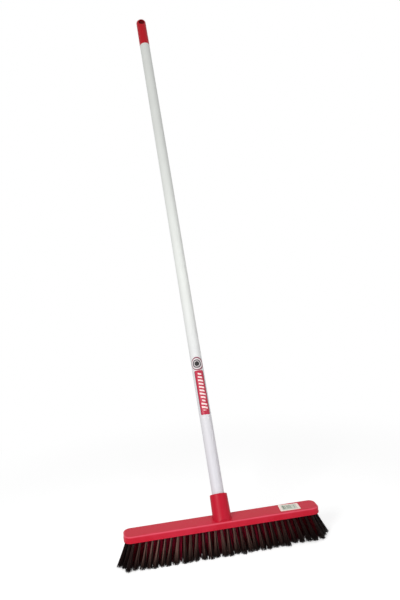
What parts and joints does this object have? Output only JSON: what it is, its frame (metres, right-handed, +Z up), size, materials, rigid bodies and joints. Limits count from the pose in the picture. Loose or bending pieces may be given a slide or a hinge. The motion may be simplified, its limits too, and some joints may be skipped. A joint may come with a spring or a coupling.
{
  "type": "push broom",
  "caption": "Push broom: long rounded head with a leaning threaded socket, rows of fanned bristle tufts, and a slim tube handle with a hanging cap that screws in.",
  "frame": {"origin": "under the middle of the head, on the plane of the bristle tips", "axes": "+Z up, X along the head, -Y towards the front that the broom is pushed to; the handle leans back towards +Y, 29 degrees from upright"},
  "size_m": [0.442, 0.6711, 1.211],
  "materials": {
    "head_plastic": "satin",
    "cap_plastic": "satin",
    "tip_plastic": "satin",
    "tube_coating": "gloss",
    "black_bristle": "satin",
    "red_bristle": "satin",
    "anchor_wire": "satin",
    "label_red": "gloss",
    "label_grey": "gloss",
    "sticker_paper": "satin"
  },
  "bodies": {
    "handle": {"handle_tube": "tube_coating", "hang_cap": "cap_plastic", "handle_label": "label_red", "disc_label": "label_grey"},
    "tip": {"screw_tip": "tip_plastic"},
    "head": {"head_block": "head_plastic", "head_sticker": "sticker_paper", "front_tufts": "black_bristle", "front_red_tufts": "red_bristle", "middle_red_tufts": "red_bristle", "rear_red_tufts": "red_bristle", "rear_tufts": "black_bristle", "left_end_tufts": "black_bristle", "right_end_tufts": "black_bristle", "front_anchors": "anchor_wire", "front_red_anchors": "anchor_wire", "middle_red_anchors": "anchor_wire", "rear_red_anchors": "anchor_wire", "rear_anchors": "anchor_wire", "left_end_anchors": "anchor_wire", "right_end_anchors": "anchor_wire"}
  },
  "joints": [
    {"name": "head_turn", "type": "hinge", "parent": "handle", "child": "tip", "pos_m": [0, 0.01837, 0.10165], "axis": [0, -0.4848, -0.8746], "range_deg": [0, 2160]},
    {"name": "thread_travel", "type": "slide", "parent": "tip", "child": "head", "axis": [0, -0.4848, -0.8746], "range_m": [0, 0.03]}
  ],
  "couplings": [
    {"joint": "head_turn", "follows": "thread_travel", "rad_per_m": 1256.6}
  ]
}
